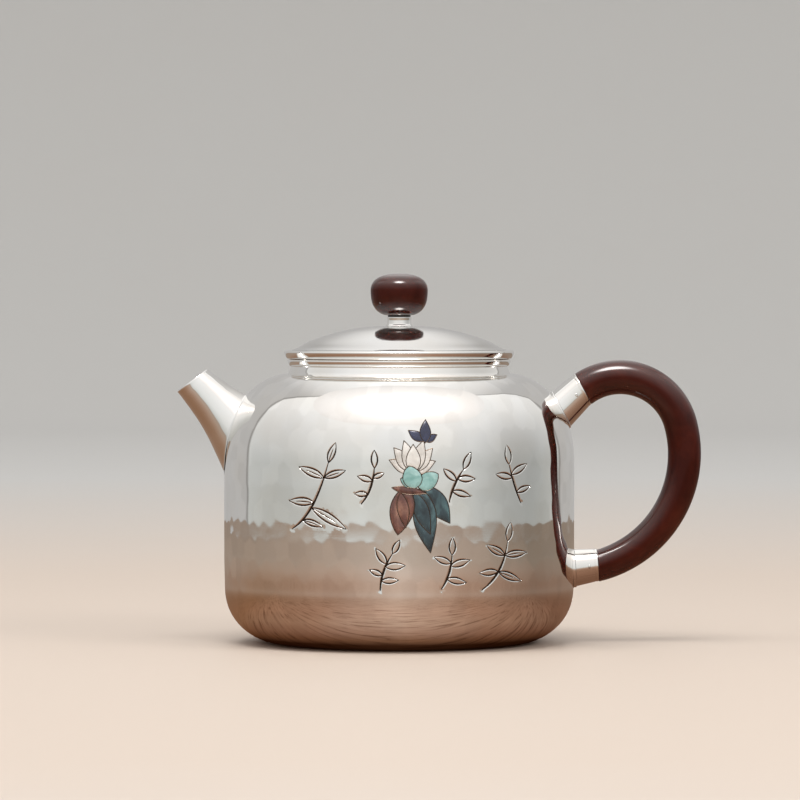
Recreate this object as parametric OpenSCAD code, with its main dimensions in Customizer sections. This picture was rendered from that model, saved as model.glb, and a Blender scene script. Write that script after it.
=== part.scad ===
// Hammered silver teapot with a C-shaped handle, a short conical spout and a lift-off lid.
// Millimetres. The origin is the centre of the flat base, +Z is up, the spout points to -X.

/* [Pot body] */
// Largest radius of the pot body
body_r = 43.75; // [43:0.25:45]
// Radius of the corner between the base and the wall
corner_r = 14; // [10:1:16]
// Height at which the straight wall turns into the shoulder
shoulder_z = 46; // [45:0.5:47]
// Height of the top of the shoulder
shoulder_top_z = 67.2; // [67:0.1:67.5]
// Thickness of the hammered sheet
wall = 1.2; // [0.8:0.1:1.5]

/* [Mouth] */
// Radius of the open mouth
mouth_r = 24.8; // [24:0.1:25]
// Largest radius of the rolled bead round the mouth
bead_r = 27.9; // [27.7:0.1:28.1]
// Height of the flat top of the bead
mouth_z = 70.9; // [70.6:0.1:71]

/* [Spout] */
// Angle of the spout above the horizontal
spout_angle = 45; // [43:1:47]
// Outer radius of the spout at its lip
spout_lip_r = 4.65; // [4.4:0.05:5]
// Thickness of the spout sheet
spout_wall = 0.8; // [0.6:0.1:1]

/* [Lid] */
// Radius of the lid's edge
lid_r = 28.8; // [28.6:0.1:29]
// Height of the flat seat in the middle of the lid
lid_top_z = 79; // [78.5:0.1:79.5]
// Thickness of the lid sheet
lid_wall = 1; // [0.8:0.1:1.1]

/* [Knob] */
// Largest radius of the knob
knob_r = 7.15; // [6.5:0.05:7.5]
// Height of the knob
knob_h = 10.45; // [9.5:0.05:11]

/* [Handle] */
// Radius of the grip's upper bend
grip_upper_bend_r = 15.7; // [15.6:0.1:15.8]
// Radius of the grip's lower bend
grip_lower_bend_r = 28.9; // [28.8:0.1:29]
// Radius of the grip's round section in the upper bend
grip_r = 4.25; // [4.2:0.05:4.3]
// Radius of the grip's round section in the lower bend
grip_lower_r = 4.1; // [3.95:0.05:4.15]

/* [Hidden] */
$fn = 96;

silver = [0.86, 0.85, 0.83];
lacquer = [0.25, 0.07, 0.05];
steel = [0.70, 0.70, 0.72];

fit = 0.01;     // a hair that makes one cutter pass through another face
reach = 60;     // longer than any cut needs to be

// Shoulder: a quarter of an ellipse between the wall and the mouth
shoulder_in_r = 27;
crease_r = 27.8;

// Mouth: the collar inside the shoulder, the groove and the rolled bead on it, and the eased inner edge
collar_out_r = 26.4;
collar_low_z = 64.6;
groove_z = 68.4;
groove_r = 1.15;
bead_h = 2.4;
mouth_ease = 0.4;

// Spout: distances along its axis from the lip, and outer radii there
spout_lip = [-51.85, 65.5];
spout_stations = [[0, 0], [4.9, 0.7], [8.6, 1.4], [12.2, 2.45], [15.2, 3.3], [20.2, 5.2], [23.5, 6.6]];
lip_tilt = 8.7;
spout_opening_r = 5.6;
strainer_wall = 0.7;
strainer_hole_r = 0.85;

// Sockets: where each meets the grip, and where its wide end meets the pot body
upper_mouth = [45.9, 63.5];
upper_root = [40.6, 58.45];
upper_cut = 28.4;
upper_radii = [4.72, 4.2];
lower_mouth = [49.7, 19.35];
lower_root = [44.1, 18.6];
lower_cut = 4;
lower_radii = [4.6, 4.0];
socket_wall = 0.8;
ring_lip = 0.22;
ring_facets = 360;
tenon_depth = 4.4;
tenon_gap = 0.05;
tenon_end_gap = 0.3;
pin_r = 0.55;
upper_pin_length = 8.6;
lower_pin_length = 8.2;

// Grip: the upper bend's centre, where each bend ends, and the angle at which the lower one takes over
grip_centre = [55.2, 50.6];
grip_join = 15.4;
grip_upper_end = 137;
grip_lower_end = -88;
grip_lower_centre = grip_centre + (grip_upper_bend_r - grip_lower_bend_r) * [cos(grip_join), sin(grip_join)];

// Lid: gap above the bead, edge height, the locating collar under it, the screw hole and the vent
lid_gap = 0.05;
edge_h = 2.1;
edge_in_r = 26.6;
lid_under_z = mouth_z + lid_gap;
lid_rim_z = lid_under_z + edge_h;
lid_collar_r = mouth_r - 0.4;
lid_collar_wall = 0.9;
lid_below = [[lid_collar_r, lid_under_z], [22, 74.25], [18, 75.7], [14, 76.8], [9, 77.7]];
lid_seat_z = lid_top_z - lid_wall;
lid_hole_r = 1.3;
vent_r = 0.8;
vent_y = 9;

// Knob: its foot, the thin washer under it, and the screw that comes up through the lid
knob_z = 81.75;
washer_h = 0.35;
washer_r = 2.95;
screw_r = 1.2;
screw_head_r = 2.6;
screw_grip = 5.8;
screw_washer_h = 0.4;
screw_seat_z = lid_seat_z - screw_washer_h;

function arc(centre, r, from, to, steps) =
    [for (i = [0:steps]) let (a = from + (to - from) * i / steps)
        [centre[0] + r * cos(a), centre[1] + r * sin(a)]];

// Outline of the pot body from the base to the mouth, moved in by inset
function body_outline(inset) = concat(
    [[0, inset]],
    arc([body_r - corner_r, corner_r], corner_r - inset, -90, 0, 8),
    [for (a = [0, 14, 26, 37, 47, 56, 64, 71, 77, 82, 86, 87.3])
        [shoulder_in_r + (body_r - shoulder_in_r - inset) * cos(a),
         shoulder_z + (shoulder_top_z - shoulder_z - inset) * sin(a)]]);

// The pot's volume up to the mouth, moved in by inset
module body_volume(inset = 0, facets = $fn) {
    rotate_extrude($fn = facets)
        polygon(concat(body_outline(inset), [[0, shoulder_top_z - inset]]));
}

module body_shell() {
    color(silver)
    difference() {
        rotate_extrude()
            polygon(concat(
                body_outline(0),
                [[collar_out_r, shoulder_top_z], [collar_out_r, shoulder_top_z - wall]],
                [for (i = [len(body_outline(wall)) - 1:-1:0]) body_outline(wall)[i]]));
        on_spout_axis()
            cylinder(r = spout_opening_r, h = 22);
    }
}

module mouth_collar() {
    bead = bead_h / 2;
    outline = body_outline(0);
    color(silver)
    rotate_extrude()
        polygon(concat(
            [[mouth_r, collar_low_z], [collar_out_r, collar_low_z], [collar_out_r, shoulder_top_z]],
            [outline[len(outline) - 1]],
            arc([crease_r + 0.1, groove_z], groove_r, -95, -180, 5),
            arc([bead_r - bead, mouth_z - bead], bead, -60, 90, 10),
            [[mouth_r + mouth_ease, mouth_z], [mouth_r, mouth_z - mouth_ease]]));
}

// Runs from the lip towards the pot, along the spout's axis
module on_spout_axis() {
    translate([spout_lip[0], 0, spout_lip[1]])
        rotate([0, 90 + spout_angle, 0])
            children();
}

// The spout's volume, moved in by inset; it starts a little before the lip and is cut to it later
module spout_volume(inset) {
    extra = 2;
    on_spout_axis()
        rotate_extrude()
            polygon(concat(
                [[0, -extra], [spout_lip_r - inset, -extra]],
                [for (s = spout_stations) [spout_lip_r + s[1] - inset, s[0]]],
                [[0, spout_stations[len(spout_stations) - 1][0]]]));
}

module spout() {
    color(silver)
    difference() {
        spout_volume(0);
        spout_volume(spout_wall);
        body_volume();
        beyond(spout_lip, 180 - spout_angle - lip_tilt);
    }
}

// A pierced dome over the spout's opening, on the inside of the pot wall
module spout_strainer() {
    dome_r = 9;
    dome_depth = 13.6;
    hole_rings = [[0, 1], [21, 6], [42, 12]];
    color(silver)
    intersection() {
        body_volume(wall);
        on_spout_axis()
            translate([0, 0, dome_depth])
                difference() {
                    sphere(r = dome_r);
                    sphere(r = dome_r - strainer_wall);
                    for (ring = hole_rings, i = [1:ring[1]])
                        rotate([0, ring[0], i * 360 / ring[1]])
                            translate([0, 0, dome_r - 2])
                                cylinder(r = strainer_hole_r, h = 4, $fn = 24);
                }
    }
}

// Puts children on the line from one point to another in the XZ plane, with +Z along it
module along(from, to) {
    translate([from[0], 0, from[1]])
        rotate([0, 90 - atan2(to[1] - from[1], to[0] - from[0]), 0])
            children();
}

// Everything beyond a plane through point, whose normal rises by angle from +X
module beyond(point, angle) {
    translate([point[0], 0, point[1]])
        rotate([0, 90 - angle, 0])
            translate([-reach / 2, -reach / 2, 0])
                cube(reach);
}

// Everything on the pot's side of that plane
module before(point, angle) {
    beyond(point, angle + 180);
}

// A tapered silver sleeve with a blind bore for the grip's tenon and a hole across it for the pin
module socket(root, mouth, cut, radii) {
    length = norm(mouth - root);
    slope = (radii[1] - radii[0]) / length;
    over = 4;
    color(silver)
    difference() {
        along(root, mouth)
            translate([0, 0, -over])
                cylinder(r1 = radii[0] - slope * over, r2 = radii[1] + slope * over, h = length + 2 * over);
        beyond(mouth, cut);
        before(root, cut);
        along(mouth, root)
            translate([0, 0, -over])
                cylinder(r = radii[1] - socket_wall, h = over + tenon_depth + tenon_end_gap);
        cross_pin(root, mouth, reach);
    }
}

// A soldered ring under the socket that follows the pot wall
module socket_ring(root, mouth, cut, radii) {
    color(silver)
    difference() {
        along(root, mouth)
            translate([0, 0, -7])
                cylinder(r = radii[0] + ring_lip, h = 12, $fn = ring_facets);
        beyond(root, cut);
        body_volume(facets = ring_facets);
        before(root - 4 * [cos(cut), sin(cut)], cut);
    }
}

// A pin across the socket's bore, and through the tenon in it
module cross_pin(root, mouth, length) {
    along(mouth, root)
        translate([0, 0, tenon_depth * 0.55])
            rotate([90, 0, 0])
                cylinder(r = pin_r, h = length, center = true, $fn = 32);
}

module upper_socket_ring() { socket_ring(upper_root, upper_mouth, upper_cut, upper_radii); }
module upper_socket() { socket(upper_root, upper_mouth, upper_cut, upper_radii); }
module upper_pin() { color(silver) cross_pin(upper_root, upper_mouth, upper_pin_length); }
module lower_socket_ring() { socket_ring(lower_root, lower_mouth, lower_cut, lower_radii); }
module lower_socket() { socket(lower_root, lower_mouth, lower_cut, lower_radii); }
module lower_pin() { color(silver) cross_pin(lower_root, lower_mouth, lower_pin_length); }

// A round bar bent about centre in the XZ plane, from one angle to another above +X
module bend(centre, bend_r, bar_r, from, to) {
    translate([centre[0], 0, centre[1]])
        rotate([90, 0, 0])
            rotate([0, 0, from])
                rotate_extrude(angle = to - from)
                    translate([bend_r, 0])
                        circle(r = bar_r);
}

// The turned-down end of the grip, from inside the bar to near the bottom of the socket's bore
module tenon(root, mouth, socket_r) {
    buried = 2;
    along(mouth, root)
        translate([0, 0, -buried])
            cylinder(r = socket_r - socket_wall - tenon_gap, h = buried + tenon_depth);
}

module handle_grip() {
    color(lacquer)
    difference() {
        union() {
            difference() {
                union() {
                    bend(grip_centre, grip_upper_bend_r, grip_r, grip_join, grip_upper_end);
                    bend(grip_lower_centre, grip_lower_bend_r, grip_lower_r, grip_lower_end, grip_join);
                }
                before(upper_mouth, upper_cut);
                before(lower_mouth, lower_cut);
            }
            tenon(upper_root, upper_mouth, upper_radii[1]);
            tenon(lower_root, lower_mouth, lower_radii[1]);
        }
        cross_pin(upper_root, upper_mouth, reach);
        cross_pin(lower_root, lower_mouth, reach);
    }
}

module lid_cover() {
    top = [
        [lid_hole_r, lid_top_z], [6, lid_top_z], [9, 78.75], [11.5, 78.35], [14, 77.85], [16, 77.35],
        [18, 76.8], [20, 76.15], [22, 75.4], [23.5, 74.7], [24.8, 73.95], [25.7, 73.4],
        [26.1, 73.15], [edge_in_r, lid_rim_z]];
    color(silver)
    difference() {
        rotate_extrude()
            polygon(concat(
                top,
                [[edge_in_r, lid_under_z]],
                lid_below,
                [[4.2, lid_seat_z], [lid_hole_r, lid_seat_z]]));
        translate([0, vent_y, mouth_z])
            cylinder(r = vent_r, h = 12, $fn = 32);
    }
}

// A half-round wire soldered round the lid's edge
module lid_edge_wire() {
    color(silver)
    rotate_extrude()
        polygon(concat(
            [[edge_in_r, lid_under_z]],
            arc([lid_r - edge_h / 2, lid_under_z + edge_h / 2], edge_h / 2, -90, 90, 10),
            [[edge_in_r, lid_rim_z]]));
}

// The ring under the lid that drops into the mouth, up to the lid's sloping underside
module lid_collar() {
    in_r = lid_collar_r - lid_collar_wall;
    low_z = 66.1;
    rise = (lid_below[1][1] - lid_under_z) * lid_collar_wall / (lid_collar_r - lid_below[1][0]);
    color(silver)
    rotate_extrude()
        polygon([
            [in_r, low_z + 0.3], [lid_collar_r - 0.2, low_z], [lid_collar_r, low_z + 0.3],
            [lid_collar_r, lid_under_z], [in_r, lid_under_z + rise]]);
}

// A turned collar with a small foot, between the lid and the knob's washer
module knob_seat() {
    head_z = knob_z - washer_h;
    color(silver)
    rotate_extrude()
        polygon([
            [lid_hole_r, lid_top_z], [3.4, lid_top_z], [3.3, lid_top_z + 0.25], [3.08, lid_top_z + 0.6],
            [3, head_z - 0.9], [3.05, head_z], [lid_hole_r, head_z]]);
}

module knob_washer() {
    color(silver)
    translate([0, 0, knob_z - washer_h])
        difference() {
            cylinder(r = washer_r, h = washer_h);
            translate([0, 0, -fit])
                cylinder(r = lid_hole_r, h = 2 * washer_h);
        }
}

// A flattened ball with a flat foot and a blind hole for the screw
module knob() {
    // Shares of the knob's radius and height
    side = [
        [0, 0], [0.41, 0], [0.52, 0.011], [0.63, 0.04], [0.73, 0.081], [0.81, 0.134], [0.89, 0.206],
        [0.944, 0.287], [0.982, 0.402], [1, 0.565], [0.992, 0.66], [0.955, 0.75], [0.89, 0.82],
        [0.795, 0.88], [0.66, 0.93], [0.5, 0.965], [0.33, 0.987], [0.15, 0.998], [0, 1]];
    color(lacquer)
    difference() {
        translate([0, 0, knob_z])
            rotate_extrude()
                polygon([for (s = side) [knob_r * s[0], knob_h * s[1]]]);
        translate([0, 0, knob_z - fit])
            cylinder(r = screw_r, h = screw_grip + 0.2, $fn = 32);
    }
}

// A slotted screw from under the lid into the knob
module knob_screw() {
    head_h = 1.2;
    slot_w = 0.6;
    slot_h = 0.6;
    color(steel)
    difference() {
        union() {
            translate([0, 0, screw_seat_z - head_h])
                cylinder(r = screw_head_r, h = head_h, $fn = 48);
            translate([0, 0, screw_seat_z - fit])
                cylinder(r = screw_r, h = knob_z + screw_grip - screw_seat_z, $fn = 32);
        }
        translate([-reach / 2, -slot_w / 2, screw_seat_z - head_h - fit])
            cube([reach, slot_w, slot_h + fit]);
    }
}

module screw_washer() {
    color(steel)
    translate([0, 0, screw_seat_z])
        difference() {
            cylinder(r = 3.4, h = screw_washer_h, $fn = 48);
            translate([0, 0, -fit])
                cylinder(r = lid_hole_r, h = 2 * screw_washer_h, $fn = 32);
        }
}

// A pointed leaf or petal: two arcs that meet at both tips
module leaf(length, width) {
    r = (length * length / 4 + width * width / 4) / width;
    intersection() {
        translate([length / 2, width / 2 - r]) circle(r = r);
        translate([length / 2, r - width / 2]) circle(r = r);
    }
}

// Cuts a flat outline, drawn in X and Z, out of a thin skin on the front of the pot
module inlay() {
    skin = 0.25;
    intersection() {
        difference() {
            body_volume(-skin);
            body_volume();
        }
        rotate([90, 0, 0])
            linear_extrude(height = reach)
                children();
    }
}

// Leaves or petals that spread from one point, each given as [direction, length, width]
module spray(at, leaves) {
    for (l = leaves)
        translate(at)
            rotate(l[0])
                translate([-0.5, 0])
                    leaf(l[1], l[2]);
}

module bud_outline() { spray([5.3, 51.4], [[72, 5, 2.6], [128, 3.6, 1.7], [20, 3.4, 1.5]]); }
module petal_outline() {
    spray([3, 46.2], [[22, 5.6, 2.6], [52, 6.2, 3], [85, 6.4, 3.2], [120, 6.2, 3], [152, 5.6, 2.6]]);
}
module sepal_outline() { spray([4.8, 41.2], [[8, 4.6, 3], [48, 5.6, 3.6], [132, 5.8, 3.6], [172, 4.4, 2.6]]); }
module leaf_outline() { spray([5.2, 40.6], [[-62, 14.5, 6.2], [-96, 16, 5.4]]); }
module stem_outline() { spray([1, 40.8], [[-98, 12.6, 5.4], [-132, 5.2, 2]]); }

module enamel_bud() {
    color([0.16, 0.17, 0.30])
        inlay() bud_outline();
}

module enamel_petals() {
    color([0.93, 0.93, 0.90])
        inlay()
            difference() {
                petal_outline();
                bud_outline();
            }
}

module enamel_sepals() {
    color([0.62, 0.82, 0.82])
        inlay()
            difference() {
                sepal_outline();
                petal_outline();
            }
}

module enamel_leaf() {
    color([0.12, 0.22, 0.26])
        inlay()
            difference() {
                leaf_outline();
                sepal_outline();
            }
}

module enamel_stem() {
    color([0.42, 0.24, 0.18])
        inlay()
            difference() {
                stem_outline();
                sepal_outline();
                leaf_outline();
            }
}

body_shell();
mouth_collar();
spout();
spout_strainer();
upper_socket_ring();
upper_socket();
upper_pin();
lower_socket_ring();
lower_socket();
lower_pin();
handle_grip();
enamel_bud();
enamel_petals();
enamel_sepals();
enamel_leaf();
enamel_stem();
lid_cover();
lid_edge_wire();
lid_collar();
knob_seat();
knob_washer();
knob();
knob_screw();
screw_washer();
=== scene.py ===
# Hammered silver teapot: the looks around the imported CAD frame.
# Lengths are millimetres in the CAD's frame, apart from the studio's at the end, which are metres.
import math

import bpy
import bmesh
import numpy as np
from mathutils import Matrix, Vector
from mathutils.geometry import delaunay_2d_cdt


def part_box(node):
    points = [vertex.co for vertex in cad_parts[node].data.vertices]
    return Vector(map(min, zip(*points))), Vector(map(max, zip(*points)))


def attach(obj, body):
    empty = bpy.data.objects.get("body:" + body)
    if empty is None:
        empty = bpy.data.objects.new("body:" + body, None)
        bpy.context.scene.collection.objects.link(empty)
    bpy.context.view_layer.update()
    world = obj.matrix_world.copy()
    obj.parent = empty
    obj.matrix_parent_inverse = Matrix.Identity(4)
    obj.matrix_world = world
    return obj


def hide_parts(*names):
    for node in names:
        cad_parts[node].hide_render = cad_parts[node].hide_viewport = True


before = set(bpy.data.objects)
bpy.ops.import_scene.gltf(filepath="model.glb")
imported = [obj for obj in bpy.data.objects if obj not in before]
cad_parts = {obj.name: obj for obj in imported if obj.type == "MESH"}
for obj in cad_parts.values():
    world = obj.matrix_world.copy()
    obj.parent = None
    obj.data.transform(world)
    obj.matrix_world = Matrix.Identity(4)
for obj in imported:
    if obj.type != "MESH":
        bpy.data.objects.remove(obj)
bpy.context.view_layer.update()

MM = 0.001
scene = bpy.context.scene

# ---- driving dimensions, from the frame


def node_box(node):
    """A CAD node's lowest and highest corners, in millimetres."""
    low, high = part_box(node)
    return np.array(low) / MM, np.array(high) / MM


BODY_R = 43.75
CORNER_R = 14.0
SHOULDER_Z = 46.0
SHOULDER_IN_R = 27.0
SHOULDER_END = math.radians(87.3)
TOP_Z = node_box("body_shell")[1][2]
WALL = 1.2

MOUTH_R = 24.8
BEAD_R = node_box("mouth_collar")[1][1]
MOUTH_Z = node_box("mouth_collar")[1][2]
COLLAR_OUT_R = 26.4
COLLAR_LOW_Z = node_box("mouth_collar")[0][2]

SPOUT_LIP = np.array([-51.85, 0.0, 65.5])
SPOUT_TILT, LIP_TILT = 45, 8.7
SPOUT_DIR = np.array([math.cos(math.radians(SPOUT_TILT)), 0.0, -math.sin(math.radians(SPOUT_TILT))])
LIP_NORMAL = math.radians(180 - SPOUT_TILT - LIP_TILT)
SPOUT_LIP_R = 4.65
SPOUT_WALL = 0.8
# (distance down the axis from the lip's centre, growth in radius over the lip's)
SPOUT_STATIONS = [(-3, -0.1), (0, 0), (2.4, 0.32), (4.9, 0.7), (8.6, 1.4), (12.2, 2.35), (15.2, 3.35),
                  (20.2, 5.2), (24, 6.8)]
SPOUT_OPENING_R = 5.6

LID_R = node_box("lid_edge_wire")[1][1]
LID_UNDER_Z = node_box("lid_edge_wire")[0][2]
LID_RIM_Z = node_box("lid_edge_wire")[1][2]
LID_TOP_Z = node_box("lid_cover")[1][2]
KNOB_Z = node_box("knob")[0][2]
KNOB_TOP = node_box("knob")[1][2]
KNOB_R = node_box("knob")[1][1]
SEAM_Z = node_box("knob_seat")[1][2]
SCREW_HOLE_R = 1.3

# Ends of each socket's axis as (x, z), the tilt of its end planes, and its radius at the root and the mouth
SOCKETS = {
    "upper": dict(root=(40.6, 58.45), mouth=(45.9, 63.5), cut=28.4, radii=(4.72, 4.2)),
    "lower": dict(root=(44.1, 18.6), mouth=(49.7, 19.35), cut=4.0, radii=(4.6, 4.0)),
}
SOCKET_BORE = 4.4
GRIP_CENTRE = np.array([55.2, 50.6])
GRIP_BEND = (15.7, 28.9)
GRIP_JOIN = math.radians(15.4)
GRIP_RADII = (4.33, 3.95)
SIDEWAYS = np.array([0.0, 1.0, 0.0])

# ---- shape helpers


def circle(count):
    """Angles of points spread evenly round a circle."""
    return np.arange(count) * 2 * math.pi / count


def upright(angle):
    """A unit vector in the plane of the handle and the spout, at an angle up from +X."""
    return np.array([math.cos(angle), 0, math.sin(angle)])


def in_plane(pair):
    """An (x, z) pair as a point in the plane of the handle and the spout."""
    return np.array([pair[0], 0, pair[1]])


def bezier(a, b, c, count):
    """Points of a curve from a to c that bends towards b."""
    t = np.linspace(0, 1, count)[:, None]
    a, b, c = (np.array(p, float) for p in (a, b, c))
    return (1 - t) ** 2 * a + 2 * t * (1 - t) * b + t ** 2 * c


def spline(points, per_span):
    """A smooth curve through points (Catmull-Rom)."""
    p = [np.array(q, float) for q in points]
    p = [2 * p[0] - p[1]] + p + [2 * p[-1] - p[-2]]
    out = []
    for i in range(1, len(p) - 2):
        for t in np.arange(per_span) / per_span:
            out.append(0.5 * (2 * p[i] + (p[i + 1] - p[i - 1]) * t
                              + (2 * p[i - 1] - 5 * p[i] + 4 * p[i + 1] - p[i + 2]) * t ** 2
                              + (3 * p[i] - 3 * p[i + 1] + p[i + 2] - p[i - 1]) * t ** 3))
    out.append(p[-2])
    return out


def rounded(points, radius):
    """A closed outline with each corner replaced by a short arc."""
    pts = [np.array(p, float) for p in points]
    out = []
    for before, p, after in zip(pts[-1:] + pts[:-1], pts, pts[1:] + pts[:1]):
        len_before, len_after = np.linalg.norm(before - p), np.linalg.norm(after - p)
        reach = min(radius, 0.45 * len_before, 0.45 * len_after)
        out += list(bezier(p + (before - p) * reach / len_before, p, p + (after - p) * reach / len_after, 4))
    return out


def halve(low, high, is_before, steps):
    """Narrows each pair of limits down to where is_before turns false."""
    for _ in range(steps):
        middle = (low + high) / 2
        before = is_before(middle)
        low, high = np.where(before, middle, low), np.where(before, high, middle)
    return high


def segment_distance(points, a, b):
    """Distances from points to the segment from a to b, and how far along it the nearest places are."""
    d = b - a
    t = np.clip(((points - a) @ d) / max(d @ d, 1e-9), 0, 1)
    return np.linalg.norm(points - a - t[:, None] * d, axis=1), t


def grid_faces(rows, cols, first=0, closed=False):
    """Quads between rings of cols vertices each, and from the last ring to the first if closed."""
    faces = []
    for j in range(rows if closed else rows - 1):
        a, b = first + j * cols, first + (j + 1) % rows * cols
        faces += [(a + i, a + (i + 1) % cols, b + (i + 1) % cols, b + i) for i in range(cols)]
    return faces


def fan(centre, first, count):
    """Triangles from a centre vertex to a ring of count vertices."""
    return [(centre, first + i, first + (i + 1) % count) for i in range(count)]


def lathe(profile, segments, closed):
    """Vertices and faces of (radius, height) points turned round Z. An open profile may end on the axis."""
    verts, faces, rows = [], [], []
    angles = circle(segments)
    for r, z in profile:
        if r < 1e-6:
            rows.append([len(verts)])
            verts.append((0, 0, z))
        else:
            rows.append(list(range(len(verts), len(verts) + segments)))
            verts.extend(zip(r * np.sin(angles), -r * np.cos(angles), np.full(segments, z)))
    for a, b in zip(rows, rows[1:] + ([rows[0]] if closed else [])):
        for i in range(segments):
            k = (i + 1) % segments
            if len(a) == 1 and len(b) > 1:
                faces.append((a[0], b[k], b[i]))
            elif len(b) == 1 and len(a) > 1:
                faces.append((a[i], a[k], b[0]))
            elif len(a) > 1:
                faces.append((a[i], a[k], b[k], b[i]))
    return verts, faces


def cut_hole(points, faces, axis_points, off, radius, hole):
    """Drops the faces that reach into a hole and pulls the points left at its edge to a true circle."""
    dropped = [f for f in faces if any(hole[k] for k in f)]
    for k in set(k for f in dropped for k in f if not hole[k]):
        points[k] = axis_points[k] + (points[k] - axis_points[k]) * radius / off[k]
    return [f for f in faces if not any(hole[k] for k in f)]


# ---- pieces


def finish_mesh(mesh, sharp, bands=()):
    """Smooth shading and outward normals. The open edges of each height band are joined first."""
    bm = bmesh.new()
    bm.from_mesh(mesh)
    if bands:
        bmesh.ops.delete(bm, geom=[v for v in bm.verts if not v.link_faces], context="VERTS")
    open_edges = [e for e in bm.edges if e.is_boundary]
    for low, high in bands:
        gap = [e for e in open_edges if low * MM < e.verts[0].co.z < high * MM and e.is_boundary]
        bmesh.ops.bridge_loops(bm, edges=gap)
    bmesh.ops.recalc_face_normals(bm, faces=bm.faces)
    bm.to_mesh(mesh)
    bm.free()
    mesh.shade_smooth()
    mesh.set_sharp_from_angle(angle=math.radians(sharp))


def add_piece(name, verts, faces, body, slot, material, replaces, sharp, floats=None):
    """A mesh piece from millimetre vertices. floats maps attribute names to a value per vertex."""
    mesh = bpy.data.meshes.new(name)
    mesh.from_pydata((np.asarray(verts, float) * MM).tolist(), [], [list(map(int, f)) for f in faces])
    mesh.validate()
    piece = bpy.data.objects.new(name, mesh)
    scene.collection.objects.link(piece)
    finish_mesh(mesh, sharp)
    for key, values in (floats or {}).items():
        layer = mesh.attributes.new(key, "FLOAT", "POINT")
        layer.data.foreach_set("value", np.asarray(values, np.float32))
    mesh.materials.append(material)
    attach(piece, body)
    if replaces:
        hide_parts(*replaces)
    return piece


def add_rings(name, rings, node):
    """A polished silver piece of the pot from rings of points, the last joined to the first."""
    verts = [p for ring in rings for p in ring]
    faces = grid_faces(len(rings), len(rings[0]), closed=True)
    add_piece(name, verts, faces, "pot", "polished_silver", polished_silver, [node], 40)


# ---- materials


class Nodes:
    """A short way to write the node tree of a material or a world."""

    def __init__(self, owner, place="Object"):
        owner.use_nodes = True
        self.owner = owner
        self.tree = owner.node_tree
        self.shader = self.tree.nodes.get("Principled BSDF")
        self.place = self.add("ShaderNodeTexCoord").outputs[place]

    def add(self, kind, **settings):
        node = self.tree.nodes.new(kind)
        for key, value in settings.items():
            if hasattr(node, key):
                setattr(node, key, value)
            else:
                node.inputs[key].default_value = value
        return node

    def link(self, out, into):
        self.tree.links.new(out, into)

    def feed(self, socket, value):
        """Links value to a socket, or sets it there if it is a number or a colour."""
        if isinstance(value, (int, float)):
            socket.default_value = value
        elif isinstance(value, tuple):
            socket.default_value = (*value, 1)
        else:
            self.link(value, socket)

    def set(self, **values):
        """Sets the shader's own sockets. Underscores stand for spaces."""
        for key, value in values.items():
            self.feed(self.shader.inputs[key.replace("_", " ")], value)

    def mapped(self, scale=(1, 1, 1), turn=(0, 0, 0)):
        node = self.add("ShaderNodeMapping", Scale=scale, Rotation=turn)
        self.link(self.place, node.inputs["Vector"])
        return node.outputs["Vector"]

    def noise(self, scale, detail, roughness=0.55, vector=None, distortion=0.0):
        node = self.add("ShaderNodeTexNoise", Scale=scale, Detail=detail, Roughness=roughness,
                        Distortion=distortion)
        self.link(self.place if vector is None else vector, node.inputs["Vector"])
        return node.outputs["Fac"]

    def ramp(self, factor, stops):
        """A colour from (place, colour) stops. A number is a grey."""
        node = self.add("ShaderNodeValToRGB")
        elements = node.color_ramp.elements
        while len(elements) < len(stops):
            elements.new(0.5)
        for element, (at, colour) in zip(elements, stops):
            element.position = at
            element.color = (*colour, 1) if isinstance(colour, tuple) else (colour, colour, colour, 1)
        self.link(factor, node.inputs["Fac"])
        return node.outputs["Color"]

    def span(self, value, low, high, to_low=0.0, to_high=1.0, curve="LINEAR"):
        """Value between low and high, moved to the range from to_low to to_high."""
        node = self.add("ShaderNodeMapRange", interpolation_type=curve)
        for key, number in zip(("From Min", "From Max", "To Min", "To Max"), (low, high, to_low, to_high)):
            node.inputs[key].default_value = number
        self.link(value, node.inputs["Value"])
        return node.outputs["Result"]

    def mix(self, factor, a, b, kind="MIX"):
        node = self.add("ShaderNodeMix", data_type="RGBA", blend_type=kind)
        for socket, value in zip((node.inputs["Factor"], node.inputs[6], node.inputs[7]), (factor, a, b)):
            self.feed(socket, value)
        return node.outputs[2]

    def math(self, operation, a, b=0.0):
        node = self.add("ShaderNodeMath", operation=operation)
        self.feed(node.inputs[0], a)
        self.feed(node.inputs[1], b)
        return node.outputs[0]

    def length(self, vector):
        node = self.add("ShaderNodeVectorMath", operation="LENGTH")
        self.link(vector, node.inputs[0])
        return node.outputs["Value"]

    def attribute(self, name):
        return self.add("ShaderNodeAttribute", attribute_name=name).outputs["Fac"]

    def bump(self, height, strength, distance_mm):
        node = self.add("ShaderNodeBump", Strength=strength, Distance=distance_mm * MM)
        self.link(height, node.inputs["Height"])
        self.set(Normal=node.outputs["Normal"])


def new_material(name):
    return Nodes(bpy.data.materials.new(name))


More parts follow.
